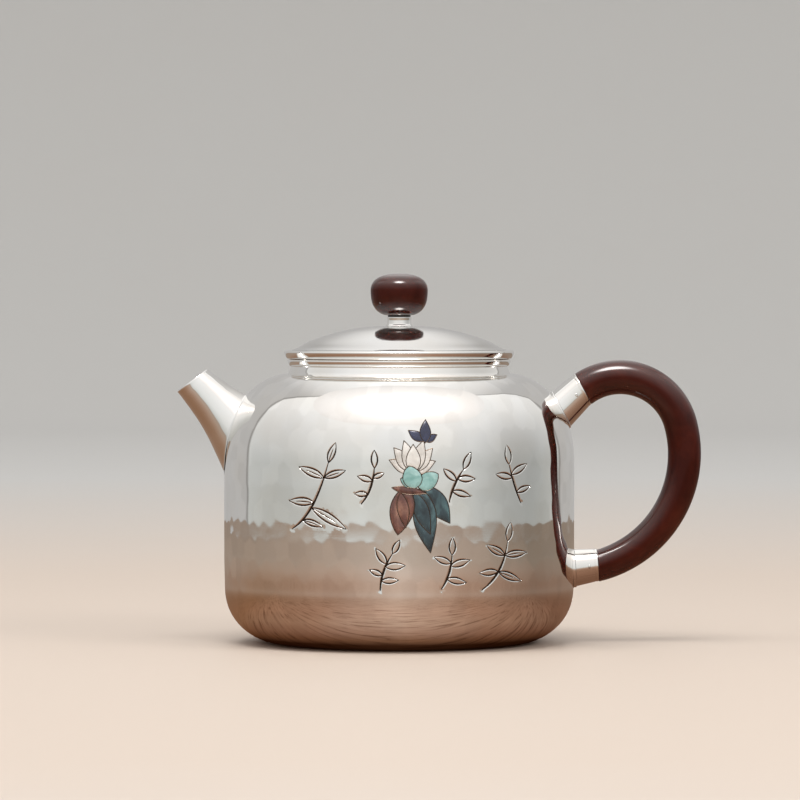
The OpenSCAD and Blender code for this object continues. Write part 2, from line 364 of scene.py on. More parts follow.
def silver(name, roughness, scratch, warm, patina=False, share=1.0):
    """Polished silver: slight colour drift, cloudy roughness and fine polishing lines."""
    n = new_material(name)
    bright = tuple(share * c for c in (0.94, 0.93, 0.91))
    dull = tuple(share * c for c in (0.94 - 0.05 * warm, 0.915 - 0.06 * warm, 0.88 - 0.08 * warm))
    colour = n.mix(n.span(n.noise(90, 2), 0.35, 0.7), bright, dull)
    rough = n.span(n.noise(260, 4, 0.6), 0.3, 0.75, *roughness)
    if patina:
        shade = n.add("ShaderNodeHueSaturation")
        n.link(n.span(n.attribute("facet"), 0, 1, 0.935, 1.035), shade.inputs["Value"])
        n.link(colour, shade.inputs["Color"])
        speckle = n.math("MULTIPLY", n.math("SUBTRACT", n.noise(2500, 2), 0.5), 0.5)
        mask = n.span(n.math("ADD", n.attribute("patina"), speckle), 0.3, 0.52)
        dirt = n.mix(n.noise(900, 2), (0.018, 0.011, 0.007), (0.07, 0.045, 0.03))
        colour = n.mix(mask, shade.outputs["Color"], dirt)
        rough = n.math("ADD", rough, n.math("MULTIPLY", mask, 0.45))
    n.set(Metallic=1.0, Base_Color=colour, Roughness=rough)
    n.bump(n.noise(420, 5, 0.65, n.mapped((1, 1, 9), (0.2, 0.1, 0))), scratch, 0.004)
    return n.owner


def satin(name, colour=(0.83, 0.81, 0.77), roughness=(0.2, 0.34)):
    """Brushed metal with cloudy colour."""
    n = new_material(name)
    cloud = n.noise(300, 5, 0.6)
    dark = tuple(0.72 * c for c in colour)
    n.set(Metallic=1.0, Base_Color=n.mix(n.span(cloud, 0.35, 0.75), colour, dark),
          Roughness=n.span(cloud, 0.3, 0.75, *roughness))
    n.bump(n.noise(900, 4, 0.6, n.mapped((1, 1, 5))), 0.25, 0.01)
    return n.owner


def lacquer(name):
    """Dark red-brown hardwood under clear lacquer, glossier on faces that look up or down."""
    n = new_material(name)
    grain = n.noise(70, 6, 0.62, n.mapped((1.0, 4.5, 1.0), (0.25, 0.1, 0)), 1.4)
    wood = n.ramp(grain, [(0.25, (0.026, 0.0034, 0.0018)), (0.5, (0.05, 0.0072, 0.0034)),
                          (0.78, (0.082, 0.014, 0.007))])
    colour = n.mix(n.span(n.noise(55, 3), 0.35, 0.7, 0, 0.4), wood, (0.034, 0.0046, 0.0024))
    facing = n.add("ShaderNodeSeparateXYZ")
    n.link(n.add("ShaderNodeTexCoord").outputs["Normal"], facing.inputs[0])
    coat = n.span(n.math("ABSOLUTE", facing.outputs["Z"]), 0.06, 0.5, 0.1, 1.0)
    n.set(Base_Color=colour, Roughness=n.span(grain, 0.3, 0.8, 0.38, 0.28), Specular_IOR_Level=0.05,
          Coat_Weight=coat, Coat_Roughness=0.035, Coat_IOR=1.65)
    n.bump(n.noise(380, 3, 0.5), 0.05, 0.02)
    return n.owner


def enamel(name, deep, mid, light, scale=260.0, streak=(1, 1, 1)):
    """Glossy enamel whose colour pools and thins, with tiny pits."""
    n = new_material(name)
    pool = n.noise(scale, 4, 0.55, n.mapped(streak), 0.8)
    n.set(Base_Color=n.ramp(pool, [(0.3, deep), (0.52, mid), (0.74, light)]),
          Roughness=n.span(n.noise(1800, 2), 0.3, 0.8, 0.1, 0.26), Coat_Weight=0.6, Coat_Roughness=0.05)
    n.bump(n.noise(900, 3), 0.18, 0.02)
    return n.owner


hammered_silver = silver("hammered_silver", (0.025, 0.06), 0.06, 0.4, patina=True)
polished_silver = silver("polished_silver", (0.03, 0.075), 0.1, 0.5)
lid_silver = silver("lid_silver", (0.07, 0.13), 0.14, 0.3, share=0.79)
inner_silver = satin("inner_silver", roughness=(0.14, 0.28))
satin_silver = satin("satin_silver")
steel = satin("steel", (0.56, 0.56, 0.57), (0.22, 0.4))
dark_seam = satin("dark_seam", (0.10, 0.09, 0.085), (0.3, 0.5))
lacquered_wood = lacquer("lacquered_wood")

# ---- body outline and hammer marks


# Where the raised sheet turns gently instead of tangent by tangent: (height, how far it is drawn in, spread)
SOFT_JOINS = [(13.6, 0.15, 4.4), (46.5, 0.07, 4.0)]
BASE_POINTS = 20


def body_outline(inset=0.0):
    """(arc length, radius, height) along the body's outline, from the base's centre to the crease."""
    corner = np.radians(np.linspace(-90, 0, 60)[1:])
    wall_z = np.linspace(CORNER_R, SHOULDER_Z, 60)[1:]
    shoulder = np.linspace(0, SHOULDER_END, 160)[1:]
    r = np.concatenate([
        np.linspace(0, BODY_R - CORNER_R, BASE_POINTS),
        BODY_R - CORNER_R + (CORNER_R - inset) * np.cos(corner),
        np.full(len(wall_z), BODY_R - inset),
        SHOULDER_IN_R + (BODY_R - SHOULDER_IN_R - inset) * np.cos(shoulder)])
    z = np.concatenate([
        np.full(BASE_POINTS, inset), CORNER_R + (CORNER_R - inset) * np.sin(corner), wall_z,
        SHOULDER_Z + (TOP_Z - SHOULDER_Z - inset) * np.sin(shoulder)])
    for join_z, depth, spread in SOFT_JOINS:
        r = r - depth * np.exp(-((z - join_z) / spread) ** 2)
    s = np.concatenate([[0], np.cumsum(np.hypot(np.diff(r), np.diff(z)))])
    return s, r, z


OUT_S, OUT_R, OUT_Z = body_outline()
S_CORNER = BODY_R - CORNER_R
S_END = float(OUT_S[-1])


def s_at(z):
    """Arc length along the outline at a height on the wall or shoulder."""
    return np.interp(z, OUT_Z[BASE_POINTS:], OUT_S[BASE_POINTS:])


# A mark's width and height, its curvature across and along, how sharply marks give way to each other, and
# their mean height, which is taken off
MARK_W, MARK_H = 4.2, 4.6
MARK_CURVE = (0.0013, 0.00095)
MARK_BLEND = 1100
MARK_MEAN = 0.004
MARKS_ROUND = round(2 * math.pi * BODY_R / MARK_W)
# A row's middle lies at 29 mm
MARK_FIRST_S = float(s_at(29.0)) - 20.5 * MARK_H
MARK_ROWS = int((S_END - MARK_FIRST_S) / MARK_H) + 4
rng = np.random.default_rng(41)
MARK_SHIFT = rng.uniform(-1, 1, (MARKS_ROUND, MARK_ROWS, 2)) * (0.36, 0.22)
MARK_LEVEL = rng.uniform(0, 0.0015, (MARKS_ROUND, MARK_ROWS))
MARK_ROUNDNESS = rng.uniform(0.7, 1.25, (MARKS_ROUND, MARK_ROWS))
MARK_TONE = rng.uniform(0, 1, (MARKS_ROUND, MARK_ROWS))
# Every other row was struck later and harder, so its marks cut into their neighbours
MARK_ROUNDNESS[:, ::2] += 0.2
MARK_LEVEL[:, ::2] -= 0.0008


def hammer_marks(angle, s):
    """The planished surface's height over the true outline, as rows of shallow marks, and the marks' tone."""
    width = 2 * math.pi * BODY_R / MARKS_ROUND
    u = np.mod(angle, 2 * math.pi) * BODY_R
    t = s - MARK_FIRST_S
    iu, js = np.floor(u / width).astype(int), np.floor(t / MARK_H).astype(int)
    total, tone = np.zeros_like(u), np.zeros_like(u)
    for dj in range(-2, 3):
        j = np.clip(js + dj, 0, MARK_ROWS - 1)
        for di in range(-2, 3):
            i = (iu + di) % MARKS_ROUND
            du = u - (iu + di + 0.25 + 0.5 * (j % 2) + MARK_SHIFT[i, j, 0]) * width
            dt = t - (js + dj + 0.5 + MARK_SHIFT[i, j, 1]) * MARK_H
            bowl = MARK_CURVE[0] * du ** 2 + MARK_CURVE[1] * dt ** 2
            weight = np.exp(-MARK_BLEND * (MARK_ROUNDNESS[i, j] * bowl + MARK_LEVEL[i, j]))
            total += weight
            tone += weight * MARK_TONE[i, j]
    return -np.log(total) / MARK_BLEND - MARK_MEAN, tone / total


def side_strength(angle):
    """The marks are deeper at the two sides, where the spout and the handle were fitted."""
    away = abs((np.asarray(angle) + math.pi) % (2 * math.pi) - math.pi)
    return 1 + 1.8 * np.exp(-((away - math.radians(74)) / math.radians(17)) ** 2)


def from_spout_axis(points):
    """Distances of points down the spout's axis and off it, and the places on it beside them."""
    along = (points - SPOUT_LIP) @ SPOUT_DIR
    beside = SPOUT_LIP + along[:, None] * SPOUT_DIR
    return along, np.linalg.norm(points - beside, axis=1), beside


def away_from_joints(points):
    """1 on open wall, falling to 0 where the spout and the sockets meet it."""
    off = from_spout_axis(points)[1]
    keep = np.where(points[:, 0] < 0, np.clip((off - 12.0) / 4, 0, 1), 1)
    for socket in SOCKETS.values():
        keep = keep * np.clip((np.linalg.norm(points - in_plane(socket["root"]), axis=1) - 5.2) / 3, 0, 1)
    return keep


def on_body(angle, s, lift=0.0):
    """Points lift proud of the hammered outside, at angles from the front towards the handle."""
    angle, s = np.asarray(angle, float), np.asarray(s, float)
    r, z = np.interp(s, OUT_S, OUT_R), np.interp(s, OUT_S, OUT_Z)
    step = 0.05
    dr = np.interp(s + step, OUT_S, OUT_R) - np.interp(s - step, OUT_S, OUT_R)
    dz = np.interp(s + step, OUT_S, OUT_Z) - np.interp(s - step, OUT_S, OUT_Z)
    nr, nz = dz / np.hypot(dr, dz), -dr / np.hypot(dr, dz)
    base = np.stack([r * np.sin(angle), -r * np.cos(angle), z], 1)
    fade = np.clip((s - S_CORNER - 1) / 6, 0, 1) * np.clip((S_END - s) / 1.5, 0.35, 1)
    height = lift + hammer_marks(angle, s)[0] * fade * side_strength(angle) * away_from_joints(base)
    return base + np.stack([nr * np.sin(angle), -nr * np.cos(angle), nz], 1) * height[:, None]


# ---- engraved sprigs on the front
# A stroke is a centre line of (x, z) points with a half width at each.

STEM_HALF = 0.48
LEAF_HALF = STEM_HALF * 0.66
GROOVE_DEPTH = 0.24
# A ring of mesh points runs this far outside each stroke, and the plain mesh keeps further away
GUARD = 0.07
CLEAR_OF_GUARD = 0.12


def taper(points, half, start=0.35, end=0.2):
    """Half widths that swell from start to full and run out to end, as shares of half."""
    t = np.linspace(0, 1, len(points))
    swell = np.sin(math.pi * np.clip(t * 0.86 + 0.1, 0, 1)) ** 0.7
    return half * np.clip(swell, start * (1 - t) + end * t, 1)


def directions(degrees):
    """Unit vectors along a direction in (x, z) and to its left."""
    a = math.radians(degrees)
    return np.array([math.cos(a), math.sin(a)]), np.array([-math.sin(a), math.cos(a)])


def leaf_strokes(base, direction, length, width, bow):
    """A pointed leaf drawn with two edges, and a midrib if it is long enough."""
    along, side = directions(direction)
    tip = base + along * length + side * bow
    strokes = []
    for turn in (1, -1):
        middle = base + along * length * 0.42 + side * (bow * 0.35 + turn * width * 1.25)
        line = bezier(base, middle, tip, 9)
        strokes.append((line, taper(line, LEAF_HALF)))
    if length > 5:
        middle = base + along * length * 0.45 + side * bow * 0.35
        rib = bezier(base, middle, base + (tip - base) * 0.7, 6)
        strokes.append((rib, taper(rib, LEAF_HALF * 0.6)))
    return strokes


def sprig(stem, leaves):
    """A curved stem with leaves, each given as (place on the stem, direction, length, width, bow)."""
    line = bezier(*stem, 14)
    strokes = [(line, taper(line, STEM_HALF, 0.55, 0.35))]
    for place, *leaf in leaves:
        strokes += leaf_strokes(line[int(round(place * 13))], *leaf)
    return strokes


SPRIGS = [
    ([(-25.8, 30.2), (-20.5, 33.5), (-17.2, 46.2)],
     [(1.0, 78, 5.2, 1.3, -0.6), (0.82, 148, 6.6, 1.5, 1.0), (0.86, 28, 5.6, 1.3, -0.8),
      (0.55, 165, 6.0, 1.5, 1.2), (0.5, -22, 9.8, 1.7, -1.4), (0.2, -8, 5.2, 1.1, -0.8)]),
    ([(-9.0, 36.6), (-6.4, 39.6), (-6.0, 45.0)],
     [(1.0, 84, 4.4, 1.2, 0.5), (0.7, 155, 3.8, 1.1, 0.5), (0.75, 30, 2.9, 0.9, -0.3),
      (0.3, 168, 3.2, 1.0, 0.5)]),
    ([(12.2, 37.0), (13.0, 41.0), (15.6, 44.6)],
     [(1.0, 60, 4.6, 1.2, 0.5), (0.65, 128, 4.4, 1.2, 0.6), (0.7, 8, 4.2, 1.2, -0.6),
      (0.3, -10, 4.6, 1.1, -0.5)]),
    ([(29.6, 36.4), (28.0, 40.0), (26.8, 45.6)],
     [(1.0, 100, 4.8, 1.2, -0.4), (0.75, 40, 4.6, 1.2, -0.5), (0.66, 158, 4.2, 1.2, 0.6),
      (0.3, 30, 3.6, 1.0, -0.4)]),
    ([(-4.6, 15.6), (-4.4, 20.4), (-1.6, 24.4)],
     [(1.0, 58, 3.8, 1.1, 0.3), (0.72, 118, 4.6, 1.3, 0.5), (0.6, 14, 4.8, 1.4, -0.8),
      (0.25, 12, 4.2, 1.1, -0.6), (0.35, 150, 3.4, 1.0, 0.4)]),
    ([(10.4, 16.0), (12.6, 19.4), (12.8, 24.0)],
     [(1.0, 84, 4.2, 1.2, 0.3), (0.78, 150, 4.4, 1.2, 0.6), (0.72, 26, 4.8, 1.3, -0.7),
      (0.3, -4, 4.8, 1.2, -0.6)]),
    ([(20.2, 15.4), (25.4, 19.0), (26.4, 27.0)],
     [(1.0, 76, 4.6, 1.2, 0.4), (0.8, 140, 5.2, 1.4, 0.8), (0.78, 16, 5.4, 1.3, -0.9),
      (0.48, -18, 6.2, 1.3, -0.6), (0.5, 172, 4.6, 1.2, 0.8)]),
]


def unrolled(points):
    """(x, z) on the front, as seen square on, to (distance round the body, distance along its outline)."""
    points = np.asarray(points, float)
    return np.stack([BODY_R * np.arcsin(points[:, 0] / BODY_R), s_at(points[:, 1])], 1)


def stroke_outline(line, half, extra):
    """A closed ring extra outside a stroke's edges."""
    step = np.gradient(line, axis=0)
    step /= np.linalg.norm(step, axis=1)[:, None]
    side = np.stack([-step[:, 1], step[:, 0]], 1) * (half + extra)[:, None]
    over = (line[-1] - line[0]) / np.linalg.norm(line[-1] - line[0]) * extra
    return [line[0] - over, *(line + side), line[-1] + over, *(line - side)[::-1]]


def stroke_field(points, strokes):
    """How deep into a stroke each point lies: 1 on a centre line, 0 on an edge, below 0 outside."""
    best = np.full(len(points), -9.0)
    for line, half in strokes:
        near = np.all((points > line.min(0) - 2) & (points < line.max(0) + 2), 1)
        value = np.full(near.sum(), -9.0)
        for a, b, half_a, half_b in zip(line[:-1], line[1:], half[:-1], half[1:]):
            off, t = segment_distance(points[near], a, b)
            value = np.maximum(value, 1 - off / (half_a + (half_b - half_a) * t))
        best[near] = np.maximum(best[near], value)
    return best


def ring_edges(first, count):
    """Edges that join count points into a closed ring."""
    return [(first + k, first + (k + 1) % count) for k in range(count)]


# ---- body shell

COLS = 480
STEP = 0.56
INNER_COLS, INNER_ROWS = 120, 64
# How far the finer front patch reaches to each side, and its lowest and highest heights
PATCH_REACH = (-34.0, 41.0)
PATCH_HEIGHTS = (14.2, 53.2)


def body_rows():
    """Places along the outline: a few on the flat base, then even steps to the crease."""
    count = int((S_END - S_CORNER) / STEP)
    return np.array([9.0, 17.0, 23.0, 27.0] + list(np.linspace(S_CORNER, S_END, count + 1)))


def engraved_patch(rows, cols, row_span):
    """The front patch with the strokes cut in: its points, depth shares, triangles and rim."""
    width = 2 * math.pi * BODY_R / COLS
    strokes = [(unrolled(line), half) for stem, leaves in SPRIGS for line, half in sprig(stem, leaves)]
    points, edges, rim, inner = [], [], {}, []
    for j in range(row_span[0], row_span[1] + 1):
        for i in range(cols[0], cols[1] + 1):
            if i in cols or j in row_span:
                rim[len(points)] = (i % COLS, j)
                points.append((i * width, rows[j]))
            else:
                inner.append((i * width, rows[j]))
    inner = np.array(inner)
    field = stroke_field(inner, [(line, half + GUARD + CLEAR_OF_GUARD) for line, half in strokes])
    points += list(inner[field < 0])
    for line, half in strokes:
        edges += [(len(points) + k, len(points) + k + 1) for k in range(len(line) - 1)]
        points += list(line)
        for extra in (0.0, GUARD):
            ring = stroke_outline(line, half, extra)
            edges += ring_edges(len(points), len(ring))
            points += ring
    out = delaunay_2d_cdt([Vector(p) for p in points], edges, [], 0, 1e-4)
    flat = np.array([tuple(v) for v in out[0]])
    kept_rim = {k: rim[source] for k, sources in enumerate(out[3]) for source in sources if source in rim}
    depth = np.clip(stroke_field(flat, strokes), 0, 1)
    depth[depth < 0.02] = 0
    depth[list(kept_rim)] = 0
    return flat, depth, out[2], kept_rim


def build_shell():
    """The body in one skin: hammered outside with the engraved patch, and plain inside."""
    rows = body_rows()
    width = 2 * math.pi / COLS
    cols = [round(reach / (BODY_R * width)) for reach in PATCH_REACH]
    row_span = [int(np.argmin(abs(rows - s_at(z)))) for z in PATCH_HEIGHTS]
    flat, depth, patch_faces, rim = engraved_patch(rows, cols, row_span)

    grid_a, grid_s = (grid.ravel() for grid in np.meshgrid(np.arange(COLS) * width, rows))
    verts = list(on_body(grid_a, grid_s))
    facet = list(hammer_marks(grid_a, grid_s)[1])
    patina = [0.0] * len(verts)
    patched = set((i % COLS, j) for i in range(*cols) for j in range(*row_span))
    faces = [face for k, face in enumerate(grid_faces(len(rows), COLS))
             if (k % COLS, k // COLS) not in patched]

    patch_a, patch_s = flat[:, 0] / BODY_R, flat[:, 1]
    patch_points = on_body(patch_a, patch_s)
    outward = patch_points - on_body(patch_a, patch_s, -1.0)
    patch_points = patch_points - outward * (depth * GROOVE_DEPTH)[:, None]
    patch_facet = hammer_marks(patch_a, patch_s)[1]
    number = {k: j * COLS + i for k, (i, j) in rim.items()}
    for k, point in enumerate(patch_points):
        if k not in rim:
            number[k] = len(verts)
            verts.append(point)
            patina.append(depth[k])
            facet.append(patch_facet[k])
    faces += [tuple(number[k] for k in f) for f in patch_faces]
    faces += fan(len(verts), 0, COLS)
    verts.append((0, 0, 0))

    # the inner wall is coarser, and joins the outer one across the top edge under the collar
    in_s, in_r, in_z = body_outline(WALL)
    first = len(verts)
    turn = circle(INNER_COLS)
    for s in np.linspace(0, in_s[-1], INNER_ROWS)[1:]:
        r, z = np.interp(s, in_s, in_r), np.interp(s, in_s, in_z)
        verts += list(zip(r * np.sin(turn), -r * np.cos(turn), np.full(INNER_COLS, z)))
    faces += [f[::-1] for f in grid_faces(INNER_ROWS - 1, INNER_COLS, first)]
    faces += fan(len(verts), first, INNER_COLS)
    verts.append((0, 0, WALL))
    patina += [0.0] * (len(verts) - len(patina))
    facet += [0.5] * (len(verts) - len(facet))

    points = np.array(verts)
    along, off, beside = from_spout_axis(points)
    hole = (off < SPOUT_OPENING_R) & (points[:, 0] < 0) & (along < 20)
    faces = cut_hole(points, faces, beside, off, SPOUT_OPENING_R, hole)
    sharp, over_the_spout = 60, 65
    shell = add_piece("pot_shell", points, faces, "pot", "hammered_silver", hammered_silver, ["body_shell"],
                      sharp, {"patina": patina, "facet": facet})
    finish_mesh(shell.data, sharp, [(over_the_spout, 100), (0, over_the_spout)])


build_shell()

# ---- mouth collar


# The mouth's outside, up from the crease: (radius, height) over the crease, then from the bead's top
NECK = [(-0.06, 0.12), (-0.2, 0.42), (-0.34, 0.8), (-0.5, 1.25), (-0.63, 1.6), (-0.7, 1.84)]
BEAD = [(-0.5, -1.68), (-0.3, -1.46), (-0.14, -1.1), (-0.03, -0.7), (0, -0.42), (-0.1, -0.16),
        (-0.34, -0.03), (-0.7, 0)]


def build_collar():
    """The tube in the mouth, with the neck, the groove and the bead that the lid rests on."""
    crease_r, crease_z = OUT_R[-1], OUT_Z[-1]
    neck = [(crease_r + r, crease_z + z) for r, z in [(0, 0)] + NECK]
    bead = [(BEAD_R + r, MOUTH_Z + z) for r, z in BEAD]
    lip_r, edge = 0.5, 0.2
    lip = [(MOUTH_R + lip_r - lip_r * math.sin(a), MOUTH_Z - lip_r + lip_r * math.cos(a))
           for a in np.radians(np.linspace(0, 90, 8))]
    tube = [(MOUTH_R, COLLAR_LOW_Z + edge), (MOUTH_R + edge, COLLAR_LOW_Z),
            (COLLAR_OUT_R - edge, COLLAR_LOW_Z), (COLLAR_OUT_R, COLLAR_LOW_Z + edge), (COLLAR_OUT_R, TOP_Z)]
    verts, faces = lathe(tube + spline(neck + bead, 5) + lip, 256, True)
    add_piece("mouth_bead", verts, faces, "pot", "polished_silver", polished_silver, ["mouth_collar"], 30)


build_collar()

# ---- spout


def body_distance(points):
    """How far outside the body's true outline points lie, below 0 inside, near its wall and shoulder."""
    r, z = np.hypot(points[:, 0], points[:, 1]), points[:, 2]
    wide, tall = BODY_R - SHOULDER_IN_R, TOP_Z - SHOULDER_Z
    dr, dz = (r - SHOULDER_IN_R) / wide, np.maximum(z - SHOULDER_Z, 0) / tall
    return (np.hypot(np.maximum(dr, 0), dz) - 1) * wide


def march(start, direction, surface, length):
    """Where lines from start along direction first meet surface (a function that is above 0 before it)."""
    low, high = np.zeros(len(start)), np.full(len(start), length)
    for t in np.linspace(0, length, 160):
        before = surface(start + direction * t) > 0
        low = np.where(before & (high == length), t, low)
        high = np.where(~before & (high == length), t, high)
    return halve(low, high, lambda t: surface(start + direction * t[:, None]) > 0, 50)


def build_spout():
    """A cone from the lip's tilted plane to the body, with a rolled lip and a small flare at its root."""
    around, count, edge = 160, 56, 0.22
    normal = upright(LIP_NORMAL)
    stations = np.array(spline(SPOUT_STATIONS, 10))
    angles = circle(around)
    out = np.outer(np.cos(angles), np.cross(SIDEWAYS, SPOUT_DIR)) + np.outer(np.sin(angles), SIDEWAYS)

    def ring_at(t, thickness):
        radius = SPOUT_LIP_R + np.interp(t, stations[:, 0], stations[:, 1]) - thickness
        return SPOUT_LIP + t[:, None] * SPOUT_DIR + out * radius[:, None]

    def limits(thickness):
        """Where a wall this deep leaves the lip's plane and reaches the body, along the axis."""
        low, middle, high = (np.full(around, at) for at in (-3.0, 3.0, 23.0))
        start = halve(low, middle, lambda t: (ring_at(t, thickness) - SPOUT_LIP) @ normal > 0, 40)
        return start, halve(middle, high, lambda t: body_distance(ring_at(t, thickness)) > -0.12, 40)

    outer_start, outer_end = limits(0.0)
    inner_start, inner_end = limits(SPOUT_WALL)
    shares = np.linspace(0, 1, count)
    rings = []
    for share in shares:
        flare = 0.3 * max((share - 0.965) / 0.035, 0) ** 2
        rings.append(ring_at(outer_start + edge + (outer_end - outer_start - edge) * share, -flare))
    for share in shares[::-1]:
        rings.append(ring_at(inner_start + edge + (inner_end - inner_start - edge) * share, SPOUT_WALL))
    for turn in np.radians(np.linspace(25, 155, 6)):
        shift = edge * (1 - math.sin(turn))
        depth = SPOUT_WALL / 2 * (1 + math.cos(turn))
        rings.append(ring_at((outer_start + inner_start) / 2 + shift, depth))
    add_rings("spout_cone", rings, "spout")


build_spout()

# ---- handle: sockets, rings, pins and grip


class Socket:
    """One of the handle's two tapered sleeves, and the cone that its pieces follow."""

    def __init__(self, key):
        facts = SOCKETS[key]
        self.key = key
        self.root, self.mouth = in_plane(facts["root"]), in_plane(facts["mouth"])
        self.length = np.linalg.norm(self.mouth - self.root)
        self.axis = (self.mouth - self.root) / self.length
        self.up = np.cross(self.axis, SIDEWAYS)
        self.normal = upright(math.radians(facts["cut"]))
        self.wide, self.narrow = facts["radii"]
        self.around = 96
        angles = circle(self.around)
        self.out = np.outer(np.cos(angles), self.up) + np.outer(np.sin(angles), SIDEWAYS)

    def cone(self, t, radius):
        """A ring of points t along the axis, each radius off it at the mouth and wider towards the root."""
        r = radius + (self.wide - self.narrow) * (1 - t / self.length)
        return self.root + t[:, None] * self.axis + self.out * r[:, None]

    def on_plane(self, point, radius, back):
        """The cone's ring on the cut plane through point, moved back towards the root."""
        t = (point - self.root) @ self.axis + np.zeros(self.around)
        for _ in range(8):
            t = t - ((self.cone(t, radius) - point) @ self.normal) / (self.axis @ self.normal)
        return self.cone(t - back, radius)

    def build_sleeve(self):
        """From the root to the mouth, over a small rolled edge and down the bore to its bottom."""
        edge, lip, bore_wall = 0.16, 0.05, 0.8
        groove = [(0.9, 0.0), (0.84, -0.07), (0.72, -0.07), (0.66, 0.0), (0.45, lip), (0.22, lip)]
        rings = [self.on_plane(self.root, self.narrow, back) for back in (-0.02, -0.5)]
        rings += [self.on_plane(self.mouth, self.narrow, back) for back in np.linspace(SOCKET_BORE, 1.05, 8)]
        rings += [self.on_plane(self.mouth, self.narrow + lift, back) for back, lift in groove]
        for a in np.radians([15, 40, 65, 90]):
            radius = self.narrow + lip - edge * (1 - math.cos(a))
            rings.append(self.on_plane(self.mouth, radius, edge * (1 - math.sin(a))))
        rings += [self.on_plane(self.mouth, self.narrow - bore_wall, back) for back in (0.0, 0.4, 2.5, 4.2)]
        verts = [p for ring in rings for p in ring] + [np.mean(rings[-1], 0)]
        faces = grid_faces(len(rings), self.around)
        faces += fan(len(verts) - 1, len(verts) - 1 - self.around, self.around)
        add_piece(f"{self.key}_sleeve", verts, faces, "pot", "polished_silver", polished_silver,
                  [f"{self.key}_socket"], 35)

    def build_solder_ring(self):
        """A rounded step from the sleeve down to the pot's wall."""
        rings = [self.on_plane(self.root, self.narrow - 1.0, 0.0)]
        for lift, back in ((0.0, 0.0), (0.13, 0.03), (0.2, 0.12), (0.22, 0.3)):
            rings.append(self.on_plane(self.root, self.narrow + lift, back))
        start = rings[-1]
        reach = march(start, -self.axis, lambda p: body_distance(p) + 0.1, 9.0)
        for share in (0.5, 0.85):
            rings.append(start - self.axis * (reach * share)[:, None])
        foot = start - self.axis * reach[:, None] + self.out * 0.12
        rings += [foot, foot - self.axis * 0.4 - self.out * 1.2]
        add_rings(f"{self.key}_solder_ring", rings, f"{self.key}_socket_ring")

    def build_pin(self):
        """The pin across the sleeve, with a domed head at each side."""
        pin_r, dome, sunk, sides = 0.55, 0.14, 0.1, 24
        centre = self.mouth - self.axis * SOCKET_BORE * 0.55
        share = ((centre - self.root) @ self.axis) / self.length
        flush = self.narrow + (self.wide - self.narrow) * (1 - share) - sunk
        heads = [(pin_r * math.cos(a), flush + dome * math.sin(a)) for a in np.radians([75, 50, 25, 0])]
        verts = [centre + SIDEWAYS * (flush + dome)]
        for r, y in heads + [(r, -y) for r, y in heads[::-1]]:
            verts += [centre + SIDEWAYS * y + r * (self.axis * math.cos(a) + self.up * math.sin(a))
                      for a in circle(sides)]
        verts.append(centre - SIDEWAYS * (flush + dome))
        faces = fan(0, 1, sides) + grid_faces(2 * len(heads), sides, 1)
        faces += [f[::-1] for f in fan(len(verts) - 1, len(verts) - 1 - sides, sides)]
        add_piece(f"{self.key}_rivet", verts, faces, "pot", "polished_silver", satin_silver,
                  [f"{self.key}_pin"], 40)


for socket_key in SOCKETS:
    socket = Socket(socket_key)
    socket.build_sleeve()
    socket.build_solder_ring()
    socket.build_pin()


def grip_path():
    """The grip's centre line as (x, z), from the upper socket to the lower one, and its outward angles."""
    join = np.array([math.cos(GRIP_JOIN), math.sin(GRIP_JOIN)])
    second_centre = GRIP_CENTRE + (GRIP_BEND[0] - GRIP_BEND[1]) * join
    upper = np.array(SOCKETS["upper"]["mouth"]) - GRIP_CENTRE
    lower = np.array(SOCKETS["lower"]["mouth"]) - second_centre
    first = np.linspace(math.atan2(upper[1], upper[0]), GRIP_JOIN, 70)
    second = np.linspace(GRIP_JOIN, math.atan2(lower[1], lower[0]), 110)[1:]
    points = []
    for centre, radius, turns in ((GRIP_CENTRE, GRIP_BEND[0], first), (second_centre, GRIP_BEND[1], second)):
        points += [centre + radius * np.array([math.cos(a), math.sin(a)]) for a in turns]
    return np.array(points), np.concatenate([first, second])


def build_grip():
    """A round bar along two arcs, slightly uneven as carved wood is, cut flush with the sockets' mouths."""
    path, turns = grip_path()
    around, bevel = 72, 0.22
    angles = circle(around)
    distance = np.concatenate([[0], np.cumsum(np.linalg.norm(np.diff(path, axis=0), axis=1))])
    rows = []
    for place, turn, d in zip(path, turns, distance / distance[-1]):
        radius = GRIP_RADII[0] + (GRIP_RADII[1] - GRIP_RADII[0]) * d
        radius = radius * (1 + 0.004 * np.sin(3 * angles + 9 * d) * math.sin(math.pi * d))
        out = np.outer(np.cos(angles), upright(turn)) + np.outer(np.sin(angles), SIDEWAYS)
        rows.append(in_plane(place) + radius[:, None] * out)

    caps = []
    for key, end, next_to_end in (("upper", 0, 1), ("lower", -1, -2)):
        normal = upright(math.radians(SOCKETS[key]["cut"]))
        tangent = upright(turns[end] + math.pi / 2)
        past = (rows[end] - in_plane(SOCKETS[key]["mouth"])) @ normal
        flat = rows[end] - np.outer(past / (tangent @ normal), tangent)
        step = rows[next_to_end] - flat
        step *= bevel / np.linalg.norm(step, axis=1)[:, None]
        middle = flat.mean(0)
        rows[end] = flat + step
        caps.append([middle + (flat - middle) * 0.5, middle + (flat - middle) * (1 - bevel / 4.1),
                     middle + (flat - middle) * (1 - bevel / 12) + step * 0.25])
    rows = caps[0] + rows + caps[1][::-1]
    verts = [p for row in rows for p in row]
    faces = grid_faces(len(rows), around)
    for row, first in ((rows[0], 0), (rows[-1], (len(rows) - 1) * around)):
        faces += fan(len(verts), first, around)
        verts.append(np.mean(row, 0))
    add_piece("grip", verts, faces, "pot", "lacquered_wood", lacquered_wood, ["handle_grip"], 50)


build_grip()

# ---- lid

